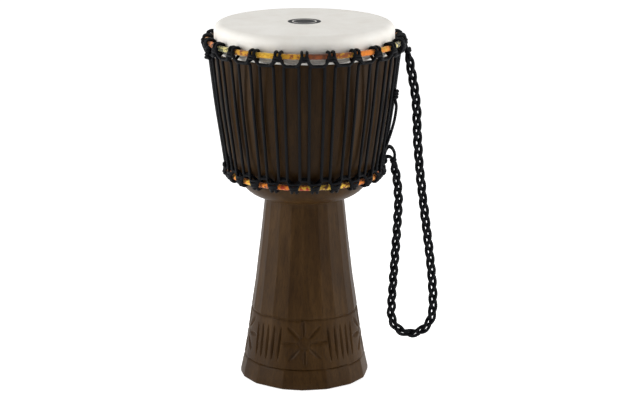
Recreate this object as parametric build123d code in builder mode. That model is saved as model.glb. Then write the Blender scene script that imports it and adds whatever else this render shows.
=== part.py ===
from build123d import *
import math
import os

# Djembe. Millimetres, +Z up, origin at the centre of the foot's underside, front along -Y.

# Wooden shell
HEIGHT = 610.0            # floor to the playing surface
HEAD_RADIUS = 149.9       # outside of the wood below the bearing edge
FOOT_RADIUS = 110.2
NECK_RADIUS = 67.0        # crease between stem and bowl
NECK_HEIGHT = 313.0
WALL = 15.0
EDGE_ROUND = 12.5         # outer rounding of the bearing edge
STEM_FACETS = 20
BAND_LOW = 33.0           # lower and upper incised rings of the carved band
BAND_HIGH = 117.0
GROOVE_RADIUS = 2.8       # half-diagonal of the tool that cuts them
GROOVE_LIFT = 0.6
SUN_HEIGHT = 80.0
SUN_ANGLES = (0, 81, 180, 279)
RAY_COUNT = 8
RAY_INNER = 11.0
RAY_LENGTH = 26.0
RAY_WIDTH = 7.0
FLUTE_ANGLES = (40.5, 130.5, 229.5, 319.5)
FLUTE_COUNT = 5
FLUTE_PITCH = 7.3         # degrees
FLUTE_WIDTH = 5.0
FLUTE_LENGTH = 56.0
CARVING_DEPTH = 2.5
CARVING_START = 6.0       # outside the wood, where each cut begins
FLUTE_HEIGHT = 75.0

# Skin and its rings
SKIN = 0.8
MARK_RADIUS = 27.6
MARK_THICKNESS = 0.2
FLESH_WIRE = 3.6
FLESH_DROP = 42.0         # playing surface to the flesh ring
RING_WIRE = 6.0
CLOTH_RING = 9.0          # diameter over the cloth
CROWN_DROP = 30.0         # playing surface to the crown ring
BOTTOM_RISE = 43.5        # neck to the bottom ring

# Rope
ROPE = 5.0
ROPE_CLEARANCE = 0.12
HITCHES = 24
WRAP_OFFSET = 3.6         # half the distance between the two wraps of a hitch
BAR_OFFSET = 6.0          # half the width of the bar that joins them
BAR_REACH = 10.2          # ring centre to the bar, towards the lacing
CORNER_OFFSET = 8.8       # hitch centre to the swag's corner
LACING_OFFSET = 8.6       # hitch centre to the nearest run of the lacing
CROWN_SWAG_DROP = 15.0    # ring centre to the swag, towards the lacing
CROWN_SWAG_OUT = 4.2
BOTTOM_SWAG_DROP = 18.5
BOTTOM_SWAG_OUT = -3.8
KNOT_RADIUS = 6.0

# Carrying strap
STRAP = 12.0
STRAP_POINTS = [
    (173, 556), (180, 520), (189, 470), (190.5, 405), (198, 330), (208, 255), (217, 188), (221.5, 134),
    (221, 92), (202, 67), (170.5, 64.5), (148.5, 87), (150.5, 135), (154.5, 195), (158.5, 262), (161, 325),
    (151, 369),
]


def polar(angle, radius, height):
    """A point at an angle from the front, counter-clockwise seen from above."""
    turn = math.radians(angle)
    return (radius * math.sin(turn), -radius * math.cos(turn), height)


def degrees_of(offset, radius):
    return math.degrees(offset / radius)


FLESH_HEIGHT = HEIGHT - FLESH_DROP
CROWN_HEIGHT = HEIGHT - CROWN_DROP
BOTTOM_HEIGHT = NECK_HEIGHT + BOTTOM_RISE
FOOT_BEVEL = 5.0

# Outside of the stem: share of the way up to the neck, and share of the foot's spread that is left
STEM_SHAPE = [(0.123, 0.833), (0.266, 0.667), (0.406, 0.521), (0.545, 0.375), (0.755, 0.1875)]
STEM = [(FOOT_RADIUS, 0), (FOOT_RADIUS, FOOT_BEVEL)]
for rise, spread in STEM_SHAPE:
    STEM.append((NECK_RADIUS + (FOOT_RADIUS - NECK_RADIUS) * spread, NECK_HEIGHT * rise))
STEM.append((NECK_RADIUS, NECK_HEIGHT))

# Outside of the bowl: share of the way from the neck to the flesh ring, and share of its full spread
BOWL_SHAPE = [
    (0.013, 0.133), (0.025, 0.241), (0.098, 0.483), (0.184, 0.603), (0.267, 0.724), (0.349, 0.799),
    (0.498, 0.881), (0.667, 0.960), (0.851, 0.994),
]
BOWL = []
for rise, spread in BOWL_SHAPE:
    radius = NECK_RADIUS + (HEAD_RADIUS - NECK_RADIUS) * spread
    BOWL.append((radius, NECK_HEIGHT + (FLESH_HEIGHT - NECK_HEIGHT) * rise))


def bowl_radius(height):
    """Outside of the bowl at a height, along the chords of its profile."""
    points = [(NECK_RADIUS, NECK_HEIGHT)] + BOWL + [(HEAD_RADIUS, FLESH_HEIGHT)]
    for (low_r, low_z), (high_r, high_z) in zip(points, points[1:]):
        if low_z <= height <= high_z:
            return low_r + (high_r - low_r) * (height - low_z) / (high_z - low_z)
    return HEAD_RADIUS


def stem_radius(height):
    """Mean radius of the stem at a height, along the chords of its profile."""
    for (low_r, low_z), (high_r, high_z) in zip(STEM, STEM[1:]):
        if low_z <= height <= high_z:
            return low_r + (high_r - low_r) * (height - low_z) / (high_z - low_z)
    return NECK_RADIUS


def carving_plane(angle, height):
    """Plane that lies on the stem's flared side."""
    flare = (stem_radius(height - 20) - stem_radius(height + 20)) / 40
    return Plane(
        origin=polar(angle, stem_radius(height), height),
        x_dir=polar(angle + 90, 1, 0),
        z_dir=polar(angle, 1, flare),
    )


FACET_SCALE = 1 / math.cos(math.pi / STEM_FACETS) ** 0.5   # polygon corners that keep the mean radius
INNER_NECK = NECK_RADIUS - WALL - 4
RIM_START = FLESH_HEIGHT - 8     # where the bowl's side becomes upright
BELLY = BOWL[5]                  # a point of the bowl's outside, about a third of the way up
SHELL_TOP = HEIGHT - SKIN

with BuildPart() as shell:
    # Stem: hand-cut facets between polygons of one facet count
    for radius, height in STEM:
        with BuildSketch(Plane.XY.offset(height)):
            RegularPolygon(radius * FACET_SCALE, STEM_FACETS, rotation=180 / STEM_FACETS)
    loft(ruled=True)
    # Bowl
    with BuildSketch(Plane.XZ):
        with BuildLine():
            Polyline((0, NECK_HEIGHT - 0.5), (NECK_RADIUS * 0.97, NECK_HEIGHT - 0.5), BOWL[0])
            Spline(*BOWL, (HEAD_RADIUS, RIM_START), tangents=[(2, 1), (0, 1)])
            Polyline((HEAD_RADIUS, RIM_START), (HEAD_RADIUS, SHELL_TOP), (0, SHELL_TOP), (0, NECK_HEIGHT - 0.5))
        make_face()
    revolve()
    fillet(shell.edges().group_by(Axis.Z)[-1], EDGE_ROUND)
    # Hollow: flared foot, narrow neck, open bowl
    with BuildSketch(Plane.XZ) as hollow:
        with BuildLine():
            Polyline(
                (0, -1), (FOOT_RADIUS - WALL, -1), (STEM[3][0] - WALL - 2, STEM[3][1]),
                (INNER_NECK, NECK_HEIGHT - 40), (INNER_NECK, NECK_HEIGHT - 4),
                (BOWL[3][0] - WALL - 15, BOWL[3][1] - 6), (BELLY[0] - WALL, BELLY[1] + 4),
                (HEAD_RADIUS - WALL, BOWL[7][1] + 17), (HEAD_RADIUS - WALL, HEIGHT + 1), (0, HEIGHT + 1), (0, -1),
            )
        make_face()
    revolve(mode=Mode.SUBTRACT)
    # Incised rings above and below the carved band
    for height in (BAND_LOW, BAND_HIGH):
        with BuildSketch(Plane.XZ):
            with Locations((stem_radius(height) + GROOVE_LIFT, height)):
                RegularPolygon(GROOVE_RADIUS, 4)
        revolve(mode=Mode.SUBTRACT)
    # Sunbursts: a hub left standing in a ring of lens-shaped rays
    for angle in SUN_ANGLES:
        with BuildSketch(carving_plane(angle, SUN_HEIGHT).offset(CARVING_START)):
            with PolarLocations(RAY_INNER + RAY_LENGTH / 2, RAY_COUNT):
                Ellipse(RAY_LENGTH / 2, RAY_WIDTH / 2)
        extrude(amount=-CARVING_START - CARVING_DEPTH, mode=Mode.SUBTRACT)
    # Flutes: upright gouge cuts in groups
    for angle in FLUTE_ANGLES:
        for index in range(FLUTE_COUNT):
            turn = angle + (index - (FLUTE_COUNT - 1) / 2) * FLUTE_PITCH
            with BuildSketch(carving_plane(turn, FLUTE_HEIGHT).offset(CARVING_START)):
                SlotOverall(FLUTE_LENGTH, FLUTE_WIDTH, rotation=90)
            extrude(amount=-CARVING_START - CARVING_DEPTH, mode=Mode.SUBTRACT)

# Drumhead: flat skin, rolled over the bearing edge, folded round the flesh ring at its hem
FOLD = FLESH_WIRE / 2 + SKIN
FLESH_RADIUS = HEAD_RADIUS + FOLD
SKIN_RADIUS = HEAD_RADIUS + SKIN
ROLL_HEIGHT = SHELL_TOP - EDGE_ROUND

with BuildPart() as drumhead:
    with BuildSketch(Plane.XZ) as skin_profile:
        with BuildLine():
            Line((0, HEIGHT), (HEAD_RADIUS - EDGE_ROUND, HEIGHT))
            RadiusArc((HEAD_RADIUS - EDGE_ROUND, HEIGHT), (SKIN_RADIUS, ROLL_HEIGHT), EDGE_ROUND + SKIN)
            Polyline(
                (SKIN_RADIUS, ROLL_HEIGHT), (SKIN_RADIUS, FLESH_HEIGHT),
                (HEAD_RADIUS, FLESH_HEIGHT), (HEAD_RADIUS, ROLL_HEIGHT),
            )
            RadiusArc((HEAD_RADIUS, ROLL_HEIGHT), (HEAD_RADIUS - EDGE_ROUND, SHELL_TOP), -EDGE_ROUND)
            Polyline((HEAD_RADIUS - EDGE_ROUND, SHELL_TOP), (0, SHELL_TOP), (0, HEIGHT))
        make_face()
        with Locations((FLESH_RADIUS, FLESH_HEIGHT)):
            Circle(FOLD)
            Circle(FOLD - SKIN, mode=Mode.SUBTRACT)
    revolve()

with BuildPart() as head_mark:
    with BuildSketch(Plane.XY.offset(HEIGHT)):
        Circle(MARK_RADIUS)
    extrude(amount=MARK_THICKNESS)

with BuildPart() as flesh_ring:
    with BuildSketch(Plane.XZ):
        with Locations((FLESH_RADIUS, FLESH_HEIGHT)):
            Circle(FLESH_WIRE / 2)
    revolve()

# Crown and bottom rings. Each hitch passes between its ring and the piece behind it.
WRAP = CLOTH_RING / 2 + ROPE / 2 + ROPE_CLEARANCE          # ring centre to rope centre
RING_STANDOFF = WRAP + ROPE / 2 + ROPE_CLEARANCE           # ring centre to the surface behind
CROWN_RADIUS = SKIN_RADIUS + RING_STANDOFF
SEAT_SPAN = 10.0          # stretch of the bowl that gives its slope at the bottom ring
SEAT_LOW = BOTTOM_HEIGHT + 4.5
BOWL_SLOPE = math.atan2(bowl_radius(SEAT_LOW + SEAT_SPAN) - bowl_radius(SEAT_LOW), SEAT_SPAN)
BOTTOM_OUT = Vector(math.cos(BOWL_SLOPE), -math.sin(BOWL_SLOPE))
BOTTOM_ALONG = Vector(math.sin(BOWL_SLOPE), math.cos(BOWL_SLOPE))
BOTTOM_SEAT = BOTTOM_HEIGHT + RING_STANDOFF * math.sin(BOWL_SLOPE)
BOTTOM_RADIUS = bowl_radius(BOTTOM_SEAT) + RING_STANDOFF * math.cos(BOWL_SLOPE)

with BuildPart() as crown_ring:
    with BuildSketch(Plane.XZ):
        with Locations((CROWN_RADIUS, CROWN_HEIGHT)):
            Circle(RING_WIRE / 2)
    revolve()

with BuildPart() as crown_ring_cloth:
    with BuildSketch(Plane.XZ):
        with Locations((CROWN_RADIUS, CROWN_HEIGHT)):
            Circle(CLOTH_RING / 2)
            Circle(RING_WIRE / 2, mode=Mode.SUBTRACT)
    revolve()

with BuildPart() as bottom_ring:
    with BuildSketch(Plane.XZ):
        with Locations((BOTTOM_RADIUS, BOTTOM_HEIGHT)):
            Circle(RING_WIRE / 2)
    revolve()

with BuildPart() as bottom_ring_cloth:
    with BuildSketch(Plane.XZ):
        with Locations((BOTTOM_RADIUS, BOTTOM_HEIGHT)):
            Circle(CLOTH_RING / 2)
            Circle(RING_WIRE / 2, mode=Mode.SUBTRACT)
    revolve()

# A hitch is laid out in its ring's own section: out of the drum, and along towards the lacing
CROWN_FRAME = (CROWN_RADIUS, CROWN_HEIGHT, Vector(1, 0), Vector(0, -1))
BOTTOM_FRAME = (BOTTOM_RADIUS, BOTTOM_HEIGHT, BOTTOM_OUT, BOTTOM_ALONG)
PITCH = 360 / HITCHES
WRAP_ROUND = WRAP - 0.2


def in_frame(frame, out, along):
    """Radius and height of a point given in a ring's section."""
    ring_radius, ring_height, outward, onward = frame
    offset = outward * out + onward * along
    return ring_radius + offset.X, ring_height + offset.Y


def hitch_point(frame, side, offset, out, along):
    radius, height = in_frame(frame, out, along)
    return polar(side * degrees_of(offset, radius), radius, height)


def back_corner(out, along):
    """Where the line from the swag's corner that just clears the ring meets the line behind it."""
    tangent = math.sqrt(out**2 + along**2 - WRAP**2)
    return ((out + WRAP) ** 2 + along**2 - tangent**2) / (2 * (along + tangent))


def hitch_side(frame, side, out, along):
    """One half of a hitch: from mid-swag, up behind the ring, over it and down to the bar."""
    corner_radius, corner_height = in_frame(frame, out, along)
    corner_angle = degrees_of(CORNER_OFFSET, corner_radius)
    mid_radius = corner_radius * math.cos(math.radians(PITCH / 2 - corner_angle))
    return [
        polar(side * PITCH / 2, mid_radius, corner_height),
        polar(side * corner_angle, corner_radius, corner_height),
        hitch_point(frame, side, WRAP_OFFSET, -WRAP, back_corner(out, along)),
        hitch_point(frame, side, WRAP_OFFSET, -WRAP, -WRAP),
        hitch_point(frame, side, WRAP_OFFSET, WRAP, -WRAP),
        hitch_point(frame, side, BAR_OFFSET, WRAP, BAR_REACH),
    ]


def hitch_route(frame, out, along):
    left = hitch_side(frame, -1, out, along)
    right = hitch_side(frame, 1, out, along)
    return left + right[::-1]


HITCH_RADII = [ROPE, WRAP_ROUND * 0.9, WRAP_ROUND, WRAP_ROUND, ROPE]
HITCH_RADII = HITCH_RADII + HITCH_RADII[::-1]

with BuildPart() as crown_hitch:
    with BuildLine() as crown_route:
        FilletPolyline(*hitch_route(CROWN_FRAME, CROWN_SWAG_OUT, CROWN_SWAG_DROP), radius=HITCH_RADII)
    with BuildSketch(crown_route.line ^ 0):
        Circle(ROPE / 2)
    sweep()

with BuildPart() as crown_cradle_rope:
    with PolarLocations(0, HITCHES):
        add(crown_hitch.part)

with BuildPart() as bottom_hitch:
    with BuildLine() as bottom_route:
        FilletPolyline(*hitch_route(BOTTOM_FRAME, BOTTOM_SWAG_OUT, BOTTOM_SWAG_DROP), radius=HITCH_RADII)
    with BuildSketch(bottom_route.line ^ 0):
        Circle(ROPE / 2)
    sweep()

with BuildPart() as bottom_cradle_rope:
    with PolarLocations(0, HITCHES, start_angle=PITCH / 2):
        add(bottom_hitch.part)

# Lacing: bights caught in the swags, and straight runs that lie on the bowl's widest part
LACING_TOP = CROWN_HEIGHT - CROWN_SWAG_DROP - 1.4
LACING_TOP_RADIUS = CROWN_RADIUS + CROWN_SWAG_OUT - ROPE - 0.3
LACING_TOUCH = NECK_HEIGHT + (FLESH_HEIGHT - NECK_HEIGHT) * 0.616   # height where the runs bear on the bowl
LACING_CLEARANCE = 1.2    # the bowl bulges a little between the points of its profile
LACING_FOOT_OUT = 0.4     # outside the lower swags, which lie against the wood
LACING_FOOT_RADIUS, LACING_FOOT = in_frame(BOTTOM_FRAME, LACING_FOOT_OUT, BOTTOM_SWAG_DROP - 1.2)
TOUCH_RADIUS = bowl_radius(LACING_TOUCH) + ROPE / 2 + LACING_CLEARANCE
TOP_ANGLE = degrees_of(LACING_OFFSET, LACING_TOP_RADIUS)

LACING_UNIT = [
    polar(0, LACING_FOOT_RADIUS * math.cos(math.radians(TOP_ANGLE)), LACING_FOOT),
    polar(TOP_ANGLE, LACING_FOOT_RADIUS, LACING_FOOT),
    polar(TOP_ANGLE, TOUCH_RADIUS, LACING_TOUCH),
    polar(TOP_ANGLE, LACING_TOP_RADIUS, LACING_TOP),
    polar(PITCH - TOP_ANGLE, LACING_TOP_RADIUS, LACING_TOP),
    polar(PITCH - TOP_ANGLE, TOUCH_RADIUS, LACING_TOUCH),
    polar(PITCH - TOP_ANGLE, LACING_FOOT_RADIUS, LACING_FOOT),
    polar(PITCH, LACING_FOOT_RADIUS * math.cos(math.radians(TOP_ANGLE)), LACING_FOOT),
]
LACING_RADII = [ROPE, 300, ROPE, ROPE, 300, ROPE]

with BuildPart() as lacing_pair:
    with BuildLine() as lacing_route:
        FilletPolyline(*LACING_UNIT, radius=LACING_RADII)
    with BuildSketch(lacing_route.line ^ 0):
        Circle(ROPE / 2)
    sweep()

with BuildPart() as lacing_rope:
    with PolarLocations(0, HITCHES):
        add(lacing_pair.part)


def wound_knot(turns):
    """Turns of rope wound side by side round a core, about the local Z."""
    Cylinder(KNOT_RADIUS - ROPE / 2, turns * ROPE)
    for turn in range(turns):
        with Locations((0, 0, (turn - (turns - 1) / 2) * ROPE)):
            Torus(KNOT_RADIUS - ROPE / 2, ROPE / 2)


# Knots: each is wound round the rope that it holds
CROWN_TIE_ANGLE = -PITCH * 4.75      # near the left side, a quarter pitch off a hitch
CROWN_TIE_RADIUS = CROWN_RADIUS + CROWN_SWAG_OUT + 1.5
with BuildPart() as crown_tie_knot:
    with Locations(Plane(origin=polar(CROWN_TIE_ANGLE, CROWN_TIE_RADIUS, CROWN_HEIGHT - CROWN_SWAG_DROP + 2))):
        wound_knot(3)

BOTTOM_TIE_ANGLE = -5 * PITCH - TOP_ANGLE
with BuildPart() as bottom_tie_knot:
    place = polar(BOTTOM_TIE_ANGLE, LACING_FOOT_RADIUS, LACING_FOOT)
    with Locations(Plane(origin=place, z_dir=polar(BOTTOM_TIE_ANGLE + 90, 1, 0))):
        wound_knot(2)

SIDE_ANGLE = 5 * PITCH + TOP_ANGLE
SIDE_HEIGHT = LACING_TOUCH + 22
SIDE_RADIUS = bowl_radius(SIDE_HEIGHT) + KNOT_RADIUS + 0.4
with BuildPart() as side_knot:
    with Locations(Plane(origin=polar(SIDE_ANGLE, SIDE_RADIUS, SIDE_HEIGHT), z_dir=polar(SIDE_ANGLE, 0.11, 1))):
        wound_knot(3)

# The lacing's end: out of the side knot, clear of the bowl, and tucked behind the next run
TAIL = [
    polar(SIDE_ANGLE, SIDE_RADIUS + 1.5, SIDE_HEIGHT - 5.6),
    polar(SIDE_ANGLE - 0.2, SIDE_RADIUS + 4.0, SIDE_HEIGHT - 22),
    polar(SIDE_ANGLE - 1.0, SIDE_RADIUS + 1.0, SIDE_HEIGHT - 46),
    polar(SIDE_ANGLE - 2.6, SIDE_RADIUS - 6.0, SIDE_HEIGHT - 72),
    polar(SIDE_ANGLE - 5.0, SIDE_RADIUS - 13.5, SIDE_HEIGHT - 92),
]
with BuildPart() as rope_tail:
    with BuildLine() as tail_route:
        FilletPolyline(*TAIL, radius=[40, 60, 60])
    with BuildSketch(tail_route.line ^ 0):
        Circle(ROPE / 2)
    sweep()

# Strap ties. The strap hangs from the line between its two ends.
STRAP_ANGLE = 90.0
STRAP_TOP = STRAP_POINTS[0]
STRAP_END = STRAP_POINTS[-1]
TIE_STEP = 3.8            # from a tie to the strap's end face
TIE_SPREAD = 2.7
RING_LOOP_OFFSET = 12.0   # from the strap to each loop on the crown ring


def top_tie_route(side):
    """From the strap up to the crown ring and round it."""
    section = ((WRAP, 7.0), (WRAP, -WRAP), (-WRAP, -WRAP), (-WRAP, WRAP), (1.5, WRAP))
    loop = []
    for out, along in section:
        radius, height = in_frame(CROWN_FRAME, out, along)
        loop.append(polar(STRAP_ANGLE + side * degrees_of(RING_LOOP_OFFSET, radius), radius, height))
    start = (STRAP_TOP[0] - 0.5, side * TIE_SPREAD, STRAP_TOP[1] + TIE_STEP)
    return [start] + loop


with BuildPart() as strap_top_tie:
    for side in (-1, 1):
        with BuildLine() as tie_route:
            FilletPolyline(*top_tie_route(side), radius=[9, WRAP_ROUND, WRAP_ROUND, WRAP_ROUND])
        with BuildSketch(tie_route.line ^ 0):
            Circle(ROPE / 2)
        sweep()
    with Locations((STRAP_TOP[0] - 0.3, 0, STRAP_TOP[1] + TIE_STEP + 2)):
        Torus(TIE_SPREAD, ROPE / 2)

LOOP_RADIUS = ROPE + 0.1
with BuildPart() as strap_bottom_tie:
    for side in (-1, 1):
        with BuildLine() as tie_route:
            FilletPolyline(
                (STRAP_END[0] - 0.3, side * TIE_SPREAD, STRAP_END[1] + TIE_STEP),
                (STRAP_END[0] - 5, side * 2.8, STRAP_END[1] + 8),
                (LACING_FOOT_RADIUS, side * 3.4, LACING_FOOT + LOOP_RADIUS),
                radius=10,
            )
        with BuildSketch(tie_route.line ^ 0):
            Circle(ROPE / 2)
        sweep()
        with Locations(Plane(origin=(LACING_FOOT_RADIUS, side * 3.4, LACING_FOOT), z_dir=(0, 1, 0))):
            Torus(LOOP_RADIUS, ROPE / 2)
    with Locations((STRAP_END[0] - 0.6, 0, STRAP_END[1] + TIE_STEP + 2)):
        Torus(TIE_SPREAD, ROPE / 2)


def strap_radii(points):
    """Arcs as large as their two runs allow."""
    radii = []
    for before, here, after in zip(points, points[1:], points[2:]):
        first = Vector(here) - Vector(before)
        second = Vector(after) - Vector(here)
        half_turn = math.radians(first.get_angle(second)) / 2
        radii.append(0.45 * min(first.length, second.length) / math.tan(half_turn))
    return radii


strap_line = [(x, 0, z) for x, z in STRAP_POINTS]
print("strap radii", [round(radius, 1) for radius in strap_radii(strap_line)])
with BuildPart() as carry_strap:
    with BuildLine() as strap_route:
        FilletPolyline(*strap_line, radius=strap_radii(strap_line))
    with BuildSketch(strap_route.line ^ 0):
        Circle(STRAP / 2)
    sweep()
strap_length = strap_route.wires()[0].length
print("strap length", round(strap_length, 1), "volume over section times length",
      round(carry_strap.part.volume / (math.pi * STRAP**2 / 4 * strap_length), 4))

# Names and files
NODES = {
    "shell": shell,
    "drumhead": drumhead,
    "head_mark": head_mark,
    "flesh_ring": flesh_ring,
    "crown_ring": crown_ring,
    "crown_ring_cloth": crown_ring_cloth,
    "bottom_ring": bottom_ring,
    "bottom_ring_cloth": bottom_ring_cloth,
    "crown_cradle_rope": crown_cradle_rope,
    "bottom_cradle_rope": bottom_cradle_rope,
    "lacing_rope": lacing_rope,
    "crown_tie_knot": crown_tie_knot,
    "bottom_tie_knot": bottom_tie_knot,
    "side_knot": side_knot,
    "rope_tail": rope_tail,
    "strap_top_tie": strap_top_tie,
    "strap_bottom_tie": strap_bottom_tie,
    "carry_strap": carry_strap,
}
os.makedirs("parts", exist_ok=True)
for name, piece in NODES.items():
    piece.part.label = name
    export_step(piece.part, f"parts/{name}.step")
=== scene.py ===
"""Djembe: carved shell, skin head, cloth-wound rings, rope lacing and a plaited carrying strap."""
import math

import bmesh
import bpy
from mathutils import Matrix, Vector, noise


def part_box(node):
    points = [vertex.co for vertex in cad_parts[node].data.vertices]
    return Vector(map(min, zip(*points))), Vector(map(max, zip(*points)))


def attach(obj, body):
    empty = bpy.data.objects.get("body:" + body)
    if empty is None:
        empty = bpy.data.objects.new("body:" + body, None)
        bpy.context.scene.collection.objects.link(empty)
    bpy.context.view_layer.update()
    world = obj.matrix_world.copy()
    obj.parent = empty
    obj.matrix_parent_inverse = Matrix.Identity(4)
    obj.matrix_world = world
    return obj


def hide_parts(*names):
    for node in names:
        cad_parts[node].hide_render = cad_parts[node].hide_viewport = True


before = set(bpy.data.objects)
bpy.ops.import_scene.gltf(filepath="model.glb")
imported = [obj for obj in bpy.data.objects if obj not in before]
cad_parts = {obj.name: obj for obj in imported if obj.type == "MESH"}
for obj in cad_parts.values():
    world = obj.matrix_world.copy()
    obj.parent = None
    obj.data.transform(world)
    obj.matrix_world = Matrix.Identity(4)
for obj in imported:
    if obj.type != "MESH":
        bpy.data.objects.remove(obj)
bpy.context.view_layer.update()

MM = 0.001

# Places and sizes, in millimetres
HEIGHT = 610.0
HEAD_RADIUS = 149.9
NECK_HEIGHT = 313.0
NECK_RADIUS = 67.0
WALL = 15.0
EDGE_ROUND = 12.5
SKIN = 0.8
SHELL_TOP = HEIGHT - SKIN
BAND_LOW = 33.0
BAND_HIGH = 117.0
SUN_HEIGHT = 78.0
FLUTE_HEIGHT = 75.0
RING_WIRE = 6.0
CLOTH_RING = 9.0           # diameter over the cloth
ROPE = 5.0
HITCHES = 24
PITCH = 360 / HITCHES      # degrees from hitch to hitch
CROWN_HEIGHT = 580.0
BOTTOM_HEIGHT = 356.5
CROWN_RING = (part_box("crown_ring")[1][0] / MM - RING_WIRE / 2, CROWN_HEIGHT)
BOTTOM_RING = (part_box("bottom_ring")[1][0] / MM - RING_WIRE / 2, BOTTOM_HEIGHT)

# Radius and height of the wood's outside
STEM = [(110.2, 0), (110.2, 5), (103, 38.5), (95.8, 83.3), (89.5, 127), (83.2, 170.6), (75.1, 236.3),
        (NECK_RADIUS, NECK_HEIGHT)]
BOWL = [(NECK_RADIUS, 312.9), (73, 314.2), (79, 316.2), (86.5, 319.2), (95, 324.2), (101.4, 330.2),
        (106.8, 337.8), (117, 360), (126.6, 381), (133.2, 402), (140, 440), (146.6, 483), (149.4, 530),
        (149.9, 568)]


def polar(angle, radius, height):
    """A point at an angle from the front, counter-clockwise seen from above, in metres."""
    turn = math.radians(angle)
    return Vector((radius * math.sin(turn), -radius * math.cos(turn), height)) * MM


def degrees_of(offset, radius):
    """The angle that a distance round the drum takes up at a radius."""
    return math.degrees(offset / radius)


def smooth(value):
    """An even ramp from 0 to 1, with soft ends."""
    value = min(1.0, max(0.0, value))
    return value * value * (3 - 2 * value)


# ---------------------------------------------------------------- shader tools

class Wire:
    """One socket of a material, with arithmetic that adds Math nodes."""

    def __init__(self, tree, socket):
        self.tree = tree
        self.socket = socket

    def math(self, operation, *others):
        made = self.tree.nodes.new("ShaderNodeMath")
        made.operation = operation
        for place, value in enumerate((self,) + others):
            connect(self.tree, made.inputs[place], value)
        return Wire(self.tree, made.outputs[0])

    def clamped(self):
        return self.math("MINIMUM", 1.0).math("MAXIMUM", 0.0)

    def __add__(self, other):
        return self.math("ADD", other)

    def __sub__(self, other):
        return self.math("SUBTRACT", other)

    def __mul__(self, other):
        return self.math("MULTIPLY", other)

    def __rsub__(self, other):
        return (self * -1.0).math("ADD", other)

    __radd__ = __add__
    __rmul__ = __mul__


def connect(tree, socket, value):
    """Links a wire to a socket, or sets the socket to a plain value."""
    if isinstance(value, Wire):
        tree.links.new(value.socket, socket)
    else:
        socket.default_value = value


class Finish:
    """A material and its Principled shader."""

    def __init__(self, name):
        self.material = bpy.data.materials.new(name)
        self.material.use_nodes = True
        self.tree = self.material.node_tree
        self.shader = self.tree.nodes["Principled BSDF"]

    def node(self, kind, output=0, settings=None, **sockets):
        made = self.tree.nodes.new("ShaderNode" + kind)
        for key, value in (settings or {}).items():
            if key == "stops":
                fill_ramp(made.color_ramp, value)
            else:
                setattr(made, key, value)
        for key, value in sockets.items():
            connect(self.tree, made.inputs[key.replace("_", " ")], value)
        return Wire(self.tree, made.outputs[output])

    def set(self, **sockets):
        for key, value in sockets.items():
            connect(self.tree, self.shader.inputs[key.replace("_", " ")], value)

    def axes(self, vector):
        return [self.node("SeparateXYZ", axis, Vector=vector) for axis in range(3)]

    def place(self, scale=(1, 1, 1)):
        return self.node("Mapping", Vector=self.node("TexCoord", "Object"), Scale=scale)

    def noise(self, where, scale, detail=3.0, rough=0.5):
        return self.node("TexNoise", "Fac", Vector=where, Scale=scale, Detail=detail, Roughness=rough)

    def mix(self, factor, first, second):
        made = self.tree.nodes.new("ShaderNodeMix")
        made.data_type = "RGBA"
        connect(self.tree, made.inputs[0], factor)
        connect(self.tree, made.inputs[6], first)
        connect(self.tree, made.inputs[7], second)
        return Wire(self.tree, made.outputs[2])

    def ramp(self, factor, *stops):
        return self.node("ValToRGB", "Color", {"stops": stops}, Fac=factor)

    def bump(self, height, strength, distance):
        self.set(Normal=self.node("Bump", "Normal", Height=height, Strength=strength, Distance=distance))


def fill_ramp(ramp, stops):
    while len(ramp.elements) < len(stops):
        ramp.elements.new(0.5)
    for element, (position, colour) in zip(ramp.elements, stops):
        element.position = position
        element.color = colour


def grey(value):
    return (value, value, value, 1)


# ---------------------------------------------------------------- finishes

# height where the painted shade over the bowl begins
BOWL_SHADE_BEGINS_AT = 0.325        # metres
HEM_BEGINS_AT = 0.580          # metres


def stained_wood():
    """Dark brown satin stain over a straight grain that runs up the shell, with painted shade that darkens
    the bowl.
    """
    finish = Finish("stained_wood")
    along = finish.place((1, 1, 0.08))
    grain = finish.noise(along, 95.0, 6.0, 0.62)
    fibre = finish.noise(along, 520.0, 4.0, 0.6)
    cloud = finish.noise(finish.place((1, 1, 0.5)), 14.0, 3.0, 0.5)
    tone = grain * 0.55 + cloud * 0.45
    colour = finish.ramp(tone, (0.30, (0.020, 0.0085, 0.0018, 1)), (0.50, (0.036, 0.0168, 0.0038, 1)),
                         (0.72, (0.062, 0.031, 0.0092, 1)))
    pores = finish.ramp(fibre, (0.36, grey(0.0)), (0.50, grey(1.0)))
    height = finish.node("SeparateXYZ", 2, Vector=finish.node("TexCoord", "Object"))
    # painted shade: above this height the wood is mixed darker, standing in for the ropes' shadow and the
    # bowl's wall facing away from the light
    bowl_shade = ((height - BOWL_SHADE_BEGINS_AT) * 18.0).clamped()
    grained = finish.mix(pores * 0.4 + 0.6, (0.012, 0.005, 0.002, 1), colour)
    finish.set(Base_Color=finish.mix(bowl_shade * 0.32, grained, (0.0085, 0.0052, 0.0022, 1)))
    finish.set(Roughness=grain * 0.16 + 0.38, Specular_IOR_Level=0.08)
    finish.bump(fibre * 0.6 + grain * 0.5, 0.35, 0.0005)
    return finish.material


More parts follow.
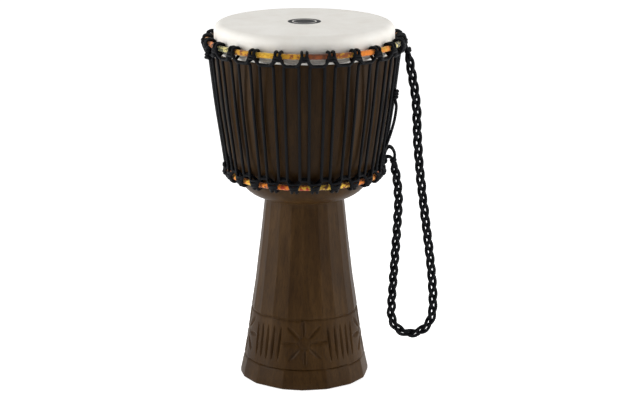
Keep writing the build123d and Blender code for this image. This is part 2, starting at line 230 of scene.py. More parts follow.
def goat_skin():
    """Pale matte skin with faint mottling, and thread-fine creases round the hem with shade painted into
    them.
    """
    finish = Finish("goat_skin")
    where = finish.place()
    cloud = finish.noise(where, 22.0, 4.0, 0.6)
    pore = finish.noise(where, 900.0, 2.0, 0.5)
    x, y, z = finish.axes(finish.node("TexCoord", "Object"))
    hem = ((HEM_BEGINS_AT - z) * 80.0).clamped()
    angle = y.math("ARCTAN2", x)
    crease = (angle * 190.0).math("SINE") * 0.5 + 0.5
    wobble = (angle * 61.0 + cloud * 9.0).math("SINE") * 0.5 + 0.5
    colour = finish.ramp(cloud, (0.28, (0.66, 0.63, 0.58, 1)), (0.55, (0.705, 0.685, 0.64, 1)),
                         (0.78, (0.74, 0.72, 0.68, 1)))
    # painted shade: the crease lines round the hem are darkened where shade falls in the folds
    crease_shaded = finish.mix(hem * crease * wobble * 0.40, colour, (0.50, 0.47, 0.43, 1))
    finish.set(Base_Color=crease_shaded, Roughness=pore * 0.12 + 0.50, Specular_IOR_Level=0.35)
    finish.bump(pore * 0.25 + cloud * 0.3 + hem * crease * 1.2, 0.3, 0.0006)
    return finish.material


MARK_RING_RADIUS = 0.0195      # metres


def mark_ink():
    """A plain dark roundel with one pale ring."""
    finish = Finish("mark_ink")
    x, y, _ = finish.axes(finish.node("TexCoord", "Object"))
    radius = (x * x + y * y).math("SQRT")
    ring = ((radius - MARK_RING_RADIUS).math("ABSOLUTE") * -900.0 + 1.4).clamped()
    wear = finish.noise(finish.place(), 420.0, 3.0, 0.6)
    ink = finish.ramp(wear, (0.35, (0.003, 0.003, 0.0035, 1)), (0.75, (0.012, 0.0125, 0.014, 1)))
    finish.set(Base_Color=finish.mix(ring, ink, (0.62, 0.60, 0.56, 1)), Roughness=wear * 0.2 + 0.5,
               Specular_IOR_Level=0.12)
    return finish.material


def braided_cord():
    """Black braided cord, with painted shade in the grooves between its strands. The cord attribute holds
    the way round, as sine and cosine, and along.
    """
    finish = Finish("braided_cord")
    around_x, around_y, along = finish.axes(finish.node("Attribute", "Vector", {"attribute_name": "cord"}))
    angle = around_y.math("ARCTAN2", around_x)
    plait_left = (angle * 4.0 + along * 2400.0).math("SINE")
    plait_right = (angle * 4.0 - along * 2400.0).math("SINE")
    plait = plait_left.math("MAXIMUM", plait_right) * 0.5 + 0.5
    fuzz = finish.noise(finish.place(), 1500.0, 2.0, 0.6)
    # painted shade: the colour darkens from the strand crowns into the grooves between strands
    colour = finish.ramp(plait, (0.35, (0.0010, 0.0010, 0.0014, 1)), (0.95, (0.0040, 0.0046, 0.0062, 1)))
    finish.set(Base_Color=colour, Roughness=fuzz * 0.15 + 0.45, Specular_IOR_Level=0.09)
    finish.bump(plait * 0.8 + fuzz * 0.15, 0.8, 0.0005)
    return finish.material


def printed_cotton():
    """Cotton strip dyed a different colour in each gap, with a small print and a plain weave."""
    finish = Finish("printed_cotton")
    dye = finish.node("Attribute", "Color", {"attribute_name": "dye"})
    second = finish.node("Attribute", "Color", {"attribute_name": "dye_second"})
    where = finish.place()
    print_mask = finish.ramp(finish.noise(where, 150.0, 3.0, 0.65), (0.47, grey(0.0)), (0.55, grey(1.0)))
    shade = finish.noise(where, 420.0, 2.0, 0.5)
    weave_a = (finish.node("SeparateXYZ", 2, Vector=where) * 5200.0).math("SINE")
    wound = finish.node("Attribute", "Fac", {"attribute_name": "wound"})
    weave_b = (wound * 60.0).math("SINE")
    cloth = finish.mix(print_mask, dye, second)
    worn = finish.mix(shade * 0.5, cloth, (0.02, 0.012, 0.006, 1))
    finish.set(Base_Color=worn, Roughness=shade * 0.2 + 0.68, Specular_IOR_Level=0.25)
    finish.shader.inputs["Sheen Weight"].default_value = 0.25
    finish.bump(weave_a * 0.2 + weave_b * 0.2 + shade, 0.5, 0.0003)
    return finish.material


def ring_steel():
    finish = Finish("ring_steel")
    scratch = finish.noise(finish.place(), 700.0, 3.0, 0.6)
    finish.set(Base_Color=finish.ramp(scratch, (0.3, grey(0.30)), (0.8, grey(0.45))),
               Roughness=scratch * 0.3 + 0.25, Metallic=1.0)
    return finish.material


# ---------------------------------------------------------------- camera, light and floor

CAMERA_PLACE = (0.0, -3.369, 1.184)
CAMERA_PITCH = 14.65
LENS = 115.3
SENSOR_WIDTH = 36
FRAME_SHIFT = 0.0244
FLOOR_SIZE = 30
FLOOR_DROP = 0.0005            # keeps the floor just below the foot


def make_camera():
    data = bpy.data.cameras.new("view")
    data.lens = LENS
    data.sensor_width = SENSOR_WIDTH
    data.shift_x = FRAME_SHIFT
    camera = bpy.data.objects.new("view", data)
    camera.location = CAMERA_PLACE
    camera.rotation_euler = (math.radians(90 - CAMERA_PITCH), 0, 0)
    bpy.context.scene.collection.objects.link(camera)
    bpy.context.scene.camera = camera


def make_light(name, place, aim, size, power):
    data = bpy.data.lights.new(name, "AREA")
    data.shape = "RECTANGLE"
    data.size = size[0]
    data.size_y = size[1]
    data.energy = power
    lamp = bpy.data.objects.new(name, data)
    lamp.location = place
    lamp.rotation_euler = (Vector(aim) - Vector(place)).to_track_quat("-Z", "Y").to_euler()
    bpy.context.scene.collection.objects.link(lamp)


def make_world():
    """White studio: bright behind, above and at the sides, dim on the side the viewer stands."""
    world = bpy.data.worlds.new("studio")
    world.use_nodes = True
    tree = world.node_tree
    where = tree.nodes.new("ShaderNodeTexCoord")
    split = tree.nodes.new("ShaderNodeSeparateXYZ")
    tree.links.new(where.outputs["Generated"], split.inputs[0])
    depth = Wire(tree, split.outputs[1])
    up = Wire(tree, split.outputs[2])
    strength = (depth * 0.62 + 0.44 + up * 0.08).math("MAXIMUM", 0.24)
    connect(tree, tree.nodes["Background"].inputs["Strength"], strength)
    tree.nodes["Background"].inputs["Color"].default_value = (1, 1, 1, 1)
    bpy.context.scene.world = world


def make_studio():
    make_light("left_bank", (-2.1, -0.55, 0.9), (0, 0, 0.32), (0.7, 2.0), 40)
    make_light("right_bank", (2.1, -0.45, 0.9), (0, 0, 0.32), (0.7, 2.0), 34)
    make_light("overhead", (0.0, -0.3, 2.6), (0, 0, 0.4), (2.2, 2.0), 12)
    make_world()
    floor_mesh = bpy.data.meshes.new("floor")
    shape = bmesh.new()
    bmesh.ops.create_grid(shape, x_segments=1, y_segments=1, size=FLOOR_SIZE)
    shape.to_mesh(floor_mesh)
    shape.free()
    floor = bpy.data.objects.new("floor", floor_mesh)
    bpy.context.scene.collection.objects.link(floor)
    finish = Finish("studio_floor")
    finish.set(Base_Color=(0.95, 0.95, 0.95, 1), Roughness=0.9, Specular_IOR_Level=0.0,
               Emission_Color=(1, 1, 1, 1), Emission_Strength=0.55)
    floor_mesh.materials.append(finish.material)
    floor.location.z = -FLOOR_DROP


# ---------------------------------------------------------------- making pieces

def new_piece(name, mesh, material, body="drum"):
    piece = bpy.data.objects.new(name, mesh)
    bpy.context.scene.collection.objects.link(piece)
    mesh.materials.clear()
    mesh.materials.append(material)
    for polygon in mesh.polygons:
        polygon.use_smooth = True
    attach(piece, body)
    return piece


def route_curve(points, closed, kind="NURBS", resolution=6):
    """A curve object along given points."""
    data = bpy.data.curves.new("route", "CURVE")
    data.dimensions = "3D"
    data.resolution_u = resolution
    spline = data.splines.new(kind)
    spline.points.add(len(points) - 1)
    for place, point in zip(spline.points, points):
        place.co = (*point, 1)
    spline.use_cyclic_u = closed
    if kind == "NURBS":
        spline.order_u = 3
        spline.use_endpoint_u = not closed
    return bpy.data.objects.new("route", data)


def centreline(points, resolution):
    """The points of the smooth line that an open route's spline follows."""
    curve = route_curve(points, False, resolution=resolution)
    mesh = bpy.data.meshes.new_from_object(curve)
    line = [vertex.co.copy() for vertex in mesh.vertices]
    bpy.data.meshes.remove(mesh)
    bpy.data.objects.remove(curve)
    return line


def distances(line):
    """How far along a line each of its points lies."""
    travelled = [0.0]
    for before, here in zip(line, line[1:]):
        travelled.append(travelled[-1] + (here - before).length)
    return travelled


def cord_mesh(points, radius, closed=False, kind="NURBS", resolution=6, sides=3):
    """A round cord along a route, with the attribute that its braid follows."""
    curve = route_curve(points, closed, kind, resolution)
    bare = bpy.data.meshes.new_from_object(curve)
    line = [vertex.co.copy() for vertex in bare.vertices]
    curve.data.bevel_depth = radius * MM
    curve.data.bevel_resolution = sides
    curve.data.use_fill_caps = not closed
    mesh = bpy.data.meshes.new_from_object(curve)
    bpy.data.objects.remove(curve)
    around = len(mesh.vertices) // len(line)
    travelled = distances(line)
    cord = mesh.attributes.new("cord", "FLOAT_VECTOR", "POINT")
    for index in range(min(len(mesh.vertices), around * len(line))):
        turn = 2 * math.pi * (index % around) / around
        cord.data[index].vector = (math.cos(turn), math.sin(turn), travelled[index // around])
    return mesh


def join_meshes(meshes):
    """One mesh from several, keeping their attributes."""
    objects = []
    for mesh in meshes:
        part = bpy.data.objects.new("part", mesh)
        bpy.context.scene.collection.objects.link(part)
        objects.append(part)
    with bpy.context.temp_override(active_object=objects[0], selected_editable_objects=objects):
        bpy.ops.object.join()
    joined = objects[0].data
    bpy.data.objects.remove(objects[0])
    return joined


# ---------------------------------------------------------------- the shell

STEM_FACETS = 20
FOOT_FACETS = 16
BOWL_FACETS = 30
SUN_ANGLES = (0, 81, 180, 279)
SUN_REACH = 42.0               # outside it, nothing is cut
RAY_COUNT = 8
RAY_MIDDLE = 25.5              # hub's centre to a ray's middle
HUB_RADIUS = 10.2
HUB_LINE = 1.6
FLUTE_ANGLES = (40.5, 130.5, 229.5, 319.5)
FLUTE_PITCH = 7.3              # degrees
INCISED_LINE = 2.1             # depth and half-width of the lines above and below the band
BAND_CUTS_END = 150.0
BOWL_FACETS_BEGIN = 322.0
BOWL_FACETS_FADE = 46.0
CARVED_BELOW = 560.0           # the rim above it stays turned


def facet_edges(count, seed):
    """Angles where hand-cut facets meet: nearly even, never quite."""
    edges = []
    for index in range(count):
        shift = noise.noise(Vector((index * 1.7, seed, 0.3))) * 0.34
        edges.append((index + shift) * 360 / count)
    return edges + [edges[0] + 360]


def facet_depth(edges, angle, radius):
    """How far a flat facet lies inside the round, at an angle."""
    angle = (angle - edges[0]) % 360 + edges[0]
    for low, high in zip(edges, edges[1:]):
        if angle <= high:
            half = math.radians(high - low) / 2
            middle = (low + high) / 2
            return radius * (1 - math.cos(half) / math.cos(math.radians(angle - middle)))
    return 0.0


STEM_EDGES = facet_edges(STEM_FACETS, 1.0)
FOOT_EDGES = facet_edges(FOOT_FACETS, 4.0)
BOWL_EDGES = facet_edges(BOWL_FACETS, 7.0)


def lens_cut(across, along, half_width, half_length, depth):
    """Depth of a gouge cut that is widest in its middle and runs out at both ends."""
    if abs(along) >= half_length:
        return 0.0
    width = half_width * (1 - (along / half_length) ** 2) ** 0.6
    if abs(across) >= width:
        return 0.0
    return depth * (1 - (abs(across) / width) ** 1.4) * (width / half_width)


def sunburst_cut(across, up):
    """Eight gouged rays round a standing hub."""
    reach = math.hypot(across, up)
    if reach > SUN_REACH:
        return 0.0
    cut = 0.0
    for index in range(RAY_COUNT):
        turn = math.radians(360 / RAY_COUNT * index + 2)
        along = across * math.cos(turn) + up * math.sin(turn)
        side = -across * math.sin(turn) + up * math.cos(turn)
        cut = max(cut, lens_cut(side, along - RAY_MIDDLE, 3.9, 15.5, 3.0))
    hub = max(0.0, 1 - abs(reach - HUB_RADIUS) / HUB_LINE)
    return max(cut, hub)


def band_cut(angle, height):
    """Depth of the carved band's cuts at a place on the stem."""
    radius = outline(STEM, height)
    cut = 0.0
    for centre in SUN_ANGLES:
        away = (angle - centre + 180) % 360 - 180
        across = math.radians(away) * radius
        if abs(across) < SUN_REACH + 2:
            cut = max(cut, sunburst_cut(across, height - SUN_HEIGHT))
    for centre in FLUTE_ANGLES:
        for index in range(-2, 3):
            away = (angle - centre - index * FLUTE_PITCH + 180) % 360 - 180
            across = math.radians(away) * radius - (height - FLUTE_HEIGHT) * 0.03 * index
            if abs(across) < 4:
                cut = max(cut, lens_cut(across, height - FLUTE_HEIGHT - index * 0.4, 3.0, 30.5, 3.3))
    return cut


def ring_cut(angle, height, level, seed):
    """A line incised by hand round the stem."""
    turn = math.radians(angle)
    waver = noise.noise(Vector((math.cos(turn) * 2, math.sin(turn) * 2, seed)))
    away = abs(height - level - waver * 1.6)
    return max(0.0, 1 - away / INCISED_LINE) * INCISED_LINE


def outline(points, height):
    """The radius at a height, from a list of radii and heights."""
    for (low_r, low_z), (high_r, high_z) in zip(points, points[1:]):
        if low_z <= height <= high_z and high_z > low_z:
            return low_r + (high_r - low_r) * (height - low_z) / (high_z - low_z)
    return points[0][0] if height < points[0][1] else points[-1][0]


def carve(point):
    """Where a point of the turned shell goes once facets, band and bowl are cut."""
    radius = math.hypot(point.x, point.y)
    height = point.z / MM
    angle = math.degrees(math.atan2(point.x, -point.y)) % 360
    round_radius = radius / MM
    if height < BAND_LOW:
        cut = facet_depth(FOOT_EDGES, angle, round_radius) * 0.8
    elif height < BAND_HIGH:
        cut = band_cut(angle, height) + facet_depth(STEM_EDGES, angle, round_radius) * 0.3
    elif height < NECK_HEIGHT:
        drift = noise.noise(Vector((angle * 0.09, height * 0.012, 2.0))) * 1.6
        fade = smooth((NECK_HEIGHT + 1 - height) / 8)
        cut = facet_depth(STEM_EDGES, angle + drift, round_radius) * fade
    else:
        fade = smooth((height - BOWL_FACETS_BEGIN) / BOWL_FACETS_FADE)
        cut = facet_depth(BOWL_EDGES, angle, round_radius) * fade * 1.1
    if height < BAND_CUTS_END:
        cut += ring_cut(angle, height, BAND_LOW, 3.0) + ring_cut(angle, height, BAND_HIGH, 9.0)
    dent = noise.noise(Vector((point.x, point.y, point.z * 0.5)) * 30) * 0.35
    shrink = (round_radius - cut - max(0.0, dent + 0.1)) / round_radius
    return Vector((point.x * shrink, point.y * shrink, point.z))


def shell_profile():
    """Outline of the wall's section, foot to head outside, then head to foot inside."""
    heights = [0.6, 5, 12, 20, 28]
    heights += [BAND_LOW - 3 + step for step in range(7)]
    heights += [BAND_LOW + 5 + 1.9 * step for step in range(42)]
    heights += [BAND_HIGH - 3 + step for step in range(7)]
    heights += [125 + 10 * step for step in range(18)] + [302]
    outside = [(108.6, 0.0)] + [(outline(STEM, height), height) for height in heights]
    outside += [(NECK_RADIUS, 309), (NECK_RADIUS, NECK_HEIGHT), (73, 314.2), (79, 316.2), (86.5, 319.2)]
    bowl_heights = [322, 326, 332, 338, 345, 352, 360, 370, 381]
    bowl_heights += [392 + 12 * step for step in range(15)] + [568, 582]
    outside += [(bowl_outline(height), height) for height in bowl_heights]
    for step in range(6):
        turn = math.radians(90 * step / 5)
        outside.append((HEAD_RADIUS - EDGE_ROUND + EDGE_ROUND * math.cos(turn),
                        SHELL_TOP - EDGE_ROUND + EDGE_ROUND * math.sin(turn)))
    inside = [(HEAD_RADIUS - WALL, SHELL_TOP), (HEAD_RADIUS - WALL, 560), (HEAD_RADIUS - WALL, 500),
              (118.2, 406), (104, 382), (87, 354), (66, 330), (48, 309), (48, 273), (62, 180),
              (78.8, 83.3), (88, 36), (95.2, 0)]
    return outside, inside


def bowl_outline(height):
    """The bowl's outside, rounded between the points of its outline."""
    reach = min(6.0, (height - 319) / 2)
    return (outline(BOWL, height - reach) + outline(BOWL, height) * 2 + outline(BOWL, height + reach)) / 4


def make_shell():
    outside, inside = shell_profile()
    shape = bmesh.new()
    rim = [shape.verts.new((0, -radius * MM, height * MM)) for radius, height in outside + inside]
    edges = [shape.edges.new((rim[index - 1], rim[index])) for index in range(len(rim))]
    bmesh.ops.spin(shape, geom=rim + edges, cent=(0, 0, 0), axis=(0, 0, 1), angle=2 * math.pi,
                   steps=560, use_merge=True)
    bmesh.ops.remove_doubles(shape, verts=shape.verts, dist=1e-6)
    outer = {round(height, 3): radius for radius, height in outside}
    for vertex in shape.verts:
        height = vertex.co.z / MM
        radius = math.hypot(vertex.co.x, vertex.co.y) / MM
        limit = outer.get(round(height, 3))
        if limit is not None and abs(radius - limit) < 0.3 and height < CARVED_BELOW:
            vertex.co = carve(vertex.co)
    bmesh.ops.recalc_face_normals(shape, faces=shape.faces)
    mesh = bpy.data.meshes.new("carved_shell")
    shape.to_mesh(mesh)
    shape.free()
    piece = new_piece("carved_shell", mesh, stained_wood())
    mesh.set_sharp_from_angle(angle=math.radians(32))
    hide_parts("shell")


# ---------------------------------------------------------------- cloth-wound rings

ORANGE = (0.80, 0.22, 0.008)
GOLD = (0.66, 0.33, 0.012)
YELLOW = (0.80, 0.50, 0.04)
RUST = (0.26, 0.06, 0.010)
BROWN = (0.10, 0.03, 0.010)
CREAM = (0.70, 0.60, 0.22)
OLIVE = (0.06, 0.07, 0.018)
NAVY = (0.012, 0.025, 0.06)
RED = (0.42, 0.03, 0.008)

# Colour and print colour of the cloth in each gap, from the left side round the front
CROWN_DYES = [
    (ORANGE, GOLD), (ORANGE, BROWN), (OLIVE, CREAM), (GOLD, RUST), (GOLD, YELLOW), (GOLD, RUST),
    (RUST, BROWN), (RUST, GOLD), (ORANGE, ORANGE), (GOLD, ORANGE), (NAVY, CREAM), (GOLD, NAVY),
]
BOTTOM_DYES = [
    (ORANGE, GOLD), (ORANGE, RUST), (ORANGE, GOLD), (YELLOW, ORANGE), (ORANGE, RUST), (ORANGE, RED),
    (RED, YELLOW), (BROWN, YELLOW), (RUST, YELLOW), (RUST, ORANGE), (ORANGE, GOLD), (ORANGE, RED),
]
CLOTH_SIDES = 14
CLOTH_STEPS = 720
CLOTH_TURN = 2.1               # degrees of the ring that one turn of the strip covers
CLOTH_LAP = 0.42               # how far a turn's edge stands up on the turn before


def make_wound_ring(name, node, ring, dyes, start, material):
    """A strip of cloth wound in overlapping turns round a ring."""
    radius, height = ring
    shape = bmesh.new()
    made = bmesh.ops.create_circle(shape, segments=CLOTH_SIDES, radius=CLOTH_RING / 2 * MM,
                                   matrix=Matrix.Translation((0, -radius * MM, height * MM)) @
                                   Matrix.Rotation(math.radians(90), 4, "Y"))
    edges = list({edge for vertex in made["verts"] for edge in vertex.link_edges})
    bmesh.ops.spin(shape, geom=made["verts"] + edges, cent=(0, 0, 0), axis=(0, 0, 1), angle=2 * math.pi,
                   steps=CLOTH_STEPS, use_merge=True)
    bmesh.ops.remove_doubles(shape, verts=shape.verts, dist=1e-7)
    winding = []
    for vertex in shape.verts:
        angle = math.degrees(math.atan2(vertex.co.x, -vertex.co.y)) % 360
        centre = polar(angle, radius, height)
        arm = vertex.co - centre
        outward = arm.dot(polar(angle, 1, 0)) / MM
        round_turn = math.degrees(math.atan2(arm.z, outward))
        turns = angle / CLOTH_TURN + round_turn / 360
        step = turns - math.floor(turns)
        rise = CLOTH_LAP * (1 - step) + 0.30 * noise.noise(vertex.co * 260)
        vertex.co = centre + arm * (1 + (rise - 0.1) / (CLOTH_RING / 2))
        winding.append(turns)
    bmesh.ops.recalc_face_normals(shape, faces=shape.faces)
    mesh = bpy.data.meshes.new(name)
    shape.to_mesh(mesh)
    shape.free()
    for attribute, kind in (("dye", "FLOAT_COLOR"), ("dye_second", "FLOAT_COLOR"), ("wound", "FLOAT")):
        mesh.attributes.new(attribute, kind, "POINT")
    dye, second, wound = [mesh.attributes[attribute] for attribute in ("dye", "dye_second", "wound")]
    for vertex, turns in zip(mesh.vertices, winding):
        angle = math.degrees(math.atan2(vertex.co.x, -vertex.co.y))
        colours = dyes[int(((angle - start) % 360) // PITCH) % len(dyes)]
        dye.data[vertex.index].color = (*colours[0], 1)
        second.data[vertex.index].color = (*colours[1], 1)
        wound.data[vertex.index].value = turns
    piece = new_piece(name, mesh, material)
    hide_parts(node)


# ---------------------------------------------------------------- ropes

ROPE_CLEARANCE = 0.25
WRAP = CLOTH_RING / 2 + ROPE / 2 + ROPE_CLEARANCE      # ring's centre to the centre of a rope round it
BOTTOM_TILT = math.radians(65.5)

# Radius and height of a ring, then the directions out from it and along towards the lacing
CROWN_FRAME = (*CROWN_RING, (1, 0), (0, -1))
BOTTOM_FRAME = (*BOTTOM_RING, (math.sin(BOTTOM_TILT), -math.cos(BOTTOM_TILT)),
                (math.cos(BOTTOM_TILT), math.sin(BOTTOM_TILT)))


def in_frame(section, out, along):
    """Radius and height of a point given out from a ring and along towards the lacing."""
    radius, height, outward, onward = section
    return (radius + outward[0] * out + onward[0] * along, height + outward[1] * out + onward[1] * along)


def hitch_route(section, corner, centre, slack):
    """One hitch from swag to swag: up behind the ring, over it, across as a bar, and back the same way."""
    out, along = corner
    half = [
        (13.0, out, along + 0.2), (10.4, out + 0.5, along - 0.6), (8.0, out + 0.6, along - 4.0),
        (5.2, -3.0, 8.4), (4.0, -WRAP, 1.2), (4.2, -WRAP, -WRAP), (4.2, WRAP, -WRAP),
        (3.5, WRAP + 0.3, 0.5), (6.8, WRAP + 0.2, 5.2 + slack), (2.2, WRAP + 2.2, 5.4 + slack),
    ]
    points = []
    for side, steps in ((-1, half), (1, half[::-1])):
        for offset, step_out, step_along in steps:
            radius, height = in_frame(section, step_out, step_along)
            points.append(polar(centre + side * degrees_of(offset, radius), radius, height))
    return points


# Turns laid across a hitch: place along, half their width, and how far out they stand
CROWN_TURNS = [(0.6, 5.4, WRAP + 2.6), (5.0, 6.6, WRAP + 2.6)]
BOTTOM_TURNS = [(2.2, 5.6, WRAP + 2.6), (6.4, 6.8, WRAP + 2.0), (10.2, 8.2, WRAP - 1.0)]


def binding_bars(section, corner, centre, turns):
    """Turns laid across the front of a hitch, and the two legs that run from them down to the swags."""
    bars = []
    out_end, along_end = corner
    first = turns[0][0]
    leg = [
        (3.2, WRAP + 1.6, first), (5.6, WRAP + 1.6, first + 4.0),
        (8.6, (WRAP + out_end) / 2 + 1.5, along_end - 4.6),
        (12.4, out_end + 1.0, along_end - 0.8), (15.2, out_end + 0.6, along_end + 0.1),
    ]
    for side in (-1, 1):
        points = []
        for offset, out, along in leg:
            radius, height = in_frame(section, out, along)
            points.append(polar(centre + side * degrees_of(offset, radius), radius, height))
        bars.append(cord_mesh(points, ROPE / 2 * 0.96, resolution=3, sides=2))
    for along, reach, front in turns:
        points = []
        for offset, out in ((-reach, front - 4.2), (-reach, front - 1.2), (-2.6, front), (2.6, front),
                            (reach, front - 1.2), (reach, front - 4.2)):
            radius, height = in_frame(section, out, along + offset * 0.10)
            points.append(polar(centre + degrees_of(offset, radius), radius, height))
        bars.append(cord_mesh(points, ROPE / 2 * 0.94, resolution=3, sides=2))
    return bars


def make_cradle(name, node, section, corner, start, turns, material):
    """The rope hitched round a ring, all in one piece."""
    points = []
    bars = []
    for index in range(HITCHES):
        slack = 0.9 * noise.noise(Vector((index * 2.3, start, 5.1)))
        waver = 0.45 * noise.noise(Vector((index * 1.9, start, 8.7)))
        centre = start + index * PITCH + waver
        points += hitch_route(section, corner, centre, slack)
        bars += binding_bars(section, corner, centre, turns)
    mesh = join_meshes([cord_mesh(points, ROPE / 2, closed=True, resolution=4)] + bars)
    piece = new_piece(name, mesh, material)
    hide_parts(node)


LACING_OFFSET = 3.1            # degrees from a hitch to the nearest run of the lacing
# A run of the lacing from the lower swag up: degrees inwards, radius, height, and its share of the lean
LACING_RUN = [
    (-1.6, 131.8, 369.4, 0), (0, 133.4, 369.2, 0), (0, 134.2, 376.5, 0), (0, 141.2, 424, 1),
    (0, 148.4, 470, 1), (0, 154.2, 520, 0), (0, 158.4, 556.0, 0), (0.1, 159.5, 563.2, 0),
    (1.5, 159.1, 563.9, 0),
]


def make_lacing(material):
    """The tension rope: runs up and down the bowl, caught in the swags at both ends."""
    points = []
    for index in range(HITCHES):
        lean = 0.25 * noise.noise(Vector((index * 3.1, 2.0, 1.0)))
        left = index * PITCH + LACING_OFFSET
        right = (index + 1) * PITCH - LACING_OFFSET
        for start, inwards, run in ((left, 1, LACING_RUN), (right, -1, LACING_RUN[::-1])):
            for turn, radius, height, share in run:
                points.append(polar(start + inwards * turn + share * lean, radius, height))
    mesh = cord_mesh(points, ROPE / 2, closed=True, resolution=4)
    piece = new_piece("lacing", mesh, material)
    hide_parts("lacing_rope")


TURN_POINTS = 8
KNOT_RADIUS = 4.4


def wound_points(place, axis, turns, radius, pitch):
    """Control points of a rope wound round an axis."""
    axis = Vector(axis).normalized()
    across = axis.orthogonal().normalized()
    beside = axis.cross(across)
    points = []
    for step in range(turns * TURN_POINTS + 1):
        turn = 2 * math.pi * step / TURN_POINTS
        lift = (step / TURN_POINTS - turns / 2) * pitch
        points.append(Vector(place) + (across * math.cos(turn) + beside * math.sin(turn)) * radius * MM
                      + axis * lift * MM)
    return points


def make_knot(name, node, place, axis, turns, ends, material):
    """Rope wound round what it holds, with its two ends tucked away."""
    wound = wound_points(place, axis, turns, KNOT_RADIUS, ROPE * 0.98)
    first, last = [Vector(place) + Vector(end) * MM for end in ends]
    mesh = cord_mesh([first] + wound + [last], ROPE / 2, resolution=5)
    piece = new_piece(name, mesh, material)
    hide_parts(node)


def middle(node):
    """The middle of a frame node's box, in metres."""
    low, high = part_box(node)
    return (Vector(low) + Vector(high)) / 2


TAIL_ANGLE = 78.1
# The loose end, from the knot down: degrees on from the tail's angle, radius and height
TAIL = [(0.0, 153.4, 486.4), (-0.2, 156.6, 476), (-0.4, 156.2, 466), (-1.0, 153.2, 446), (-2.6, 146.2, 420),
        (-4.2, 140.4, 404), (-5.2, 137.4, 398)]


def make_loose_ends(material):
    tail = [polar(TAIL_ANGLE + turn, radius, height) for turn, radius, height in TAIL]
    piece = new_piece("loose_end", cord_mesh(tail, ROPE / 2, resolution=8), material)
    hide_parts("rope_tail")
    make_knot("side_tie", "side_knot", middle("side_knot"), (0.11, 0, 1), 3,
              ((-2, 1, -7), (1, -3, 7)), material)
    make_knot("crown_tie", "crown_tie_knot", middle("crown_tie_knot"), (0.1, 0.1, 1), 4,
              ((1, 2, -10), (-2, -3, 10)), material)
    make_knot("bottom_tie", "bottom_tie_knot", middle("bottom_tie_knot"), (0.2, -1, 0.1), 2,
              ((-3, 3, 2), (-4, -3, 5)), material)


# ---------------------------------------------------------------- carrying strap

STRAP_POINTS = [
    (173, 556), (180, 520), (189, 470), (190.5, 405), (198, 330), (208, 255), (217, 188), (221.5, 134),
    (221, 92), (202, 67), (170.5, 64.5), (148.5, 87), (150.5, 135), (154.5, 195), (158.5, 262), (161, 325),
    (151, 369),
]
PLAIT_REPEAT = 64.0            # length in which a strand comes back to its side
PLAIT_SIDEWAYS = 5.2           # how far a strand swings to each side
PLAIT_DEEP = 2.9               # and to front and back
PLAIT_END = 14.0               # length over which the plait draws in at its ends
END_SHARE = 0.42               # width left at the very ends
STRAND = 6.0


def make_strap(material):
    """Three strands plaited along the strap's hanging line."""
    route = [Vector((x, 0, z)) * MM for x, z in STRAP_POINTS]
    line = centreline(route, 24)
    travelled = distances(line)
    length = travelled[-1]
    strands = []
    for strand in range(3):
        points = []
        for index, here in enumerate(line):
            ahead = line[min(index + 1, len(line) - 1)] - line[max(index - 1, 0)]
            side = ahead.normalized().cross(Vector((0, 1, 0)))
            done = travelled[index]
            near_end = min(done, length - done) / (PLAIT_END * MM)
            spread = END_SHARE + (1 - END_SHARE) * smooth(near_end)
            loose = 1 + 0.16 * noise.noise(Vector((done * 30, strand, 2)))
            phase = 2 * math.pi * (done / (PLAIT_REPEAT * MM) + strand / 3)
            points.append(here + side * math.sin(phase) * PLAIT_SIDEWAYS * MM * spread * loose
                          + Vector((0, math.sin(2 * phase) * PLAIT_DEEP * MM * spread, 0)))
        strands.append(cord_mesh(points, STRAND / 2, kind="POLY"))
    piece = new_piece("plaited_strap", join_meshes(strands), material, "strap")
    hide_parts("carry_strap")


# The strap's lower fastening, one side of it: x, distance from the middle, and height
LOOP = [(150.9, 2.2, 369.5), (149.4, 2.6, 375), (144, 2.9, 379.5), (137.8, 3.3, 379.2), (129.2, 3.4, 379.4),
        (128.6, 3.4, 369.8), (137.4, 3.4, 368.8), (138.4, 3.4, 375.5), (135.5, 4.4, 379.0)]
ARCH = [(136.2, 4.6, 388), (139.4, 4.4, 397), (146.5, 3.8, 396.5), (152.4, 3.0, 387), (152.8, 2.4, 378),
        (151.2, 2.2, 370.5)]


def knot_round_strap(x, height, lean, radius):
    """Two turns that bind the ends of a fastening to the strap."""
    place = Vector((x, 0, height)) * MM
    return cord_mesh(wound_points(place, (lean, 0, 1), 2, radius, 3.4), ROPE / 2)


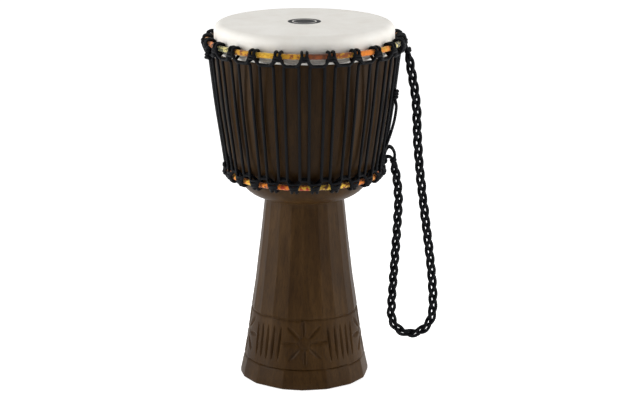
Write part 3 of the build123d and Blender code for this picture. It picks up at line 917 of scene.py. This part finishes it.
def make_strap_ties(material):
    """The fork that ties the strap to the crown ring, and the loops that tie it to the lower cradle."""
    top = []
    for side in (-1, 1):
        points = [Vector((172.6, side * 2.4, 557.5)) * MM, Vector((172.0, side * 2.8, 563)) * MM]
        section = ((9.4, WRAP + 1.2, 9.0), (11.6, WRAP, 0.0), (12, WRAP, -WRAP), (12, -WRAP, -WRAP),
                   (12, -WRAP, WRAP), (12.4, 0.5, WRAP), (13.2, 3.2, WRAP - 0.6))
        for offset, out, along in section:
            radius, height = in_frame(CROWN_FRAME, out, along)
            points.append(polar(90 + side * degrees_of(offset, radius), radius, height))
        top.append(cord_mesh(points, ROPE / 2, resolution=6))
    top.append(knot_round_strap(172.6, 561.0, -0.15, 4.1))
    piece = new_piece("strap_fork", join_meshes(top), material)
    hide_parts("strap_top_tie")
    bottom = []
    for side in (-1, 1):
        for route in (LOOP, ARCH):
            points = [Vector((x, side * across, height)) * MM for x, across, height in route]
            bottom.append(cord_mesh(points, ROPE / 2, resolution=6))
    bottom.append(knot_round_strap(150.2, 373.0, -0.35, 4.0))
    piece = new_piece("strap_loops", join_meshes(bottom), material)
    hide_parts("strap_bottom_tie")


# ---------------------------------------------------------------- everything together

def finish_node(node, material):
    """Gives a node of the frame, kept as it is, its material."""
    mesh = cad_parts[node].data
    mesh.materials.clear()
    mesh.materials.append(material)


bpy.context.scene.view_settings.view_transform = "Standard"
make_camera()
make_studio()
cord_black = braided_cord()
make_strap(cord_black)
make_strap_ties(cord_black)
make_cradle("crown_cradle", "crown_cradle_rope", CROWN_FRAME, (4.2, 15.0), 0.0, CROWN_TURNS, cord_black)
make_cradle("bottom_cradle", "bottom_cradle_rope", BOTTOM_FRAME, (-3.2, 15.2), PITCH / 2, BOTTOM_TURNS,
            cord_black)
make_lacing(cord_black)
make_loose_ends(cord_black)
cotton = printed_cotton()
make_wound_ring("crown_cloth", "crown_ring_cloth", CROWN_RING, CROWN_DYES, -90, cotton)
make_wound_ring("bottom_cloth", "bottom_ring_cloth", BOTTOM_RING, BOTTOM_DYES, -90 - PITCH / 2, cotton)
make_shell()
finish_node("drumhead", goat_skin())
finish_node("head_mark", mark_ink())
steel = ring_steel()
for hidden_ring in ("flesh_ring", "crown_ring", "bottom_ring"):
    finish_node(hidden_ring, steel)
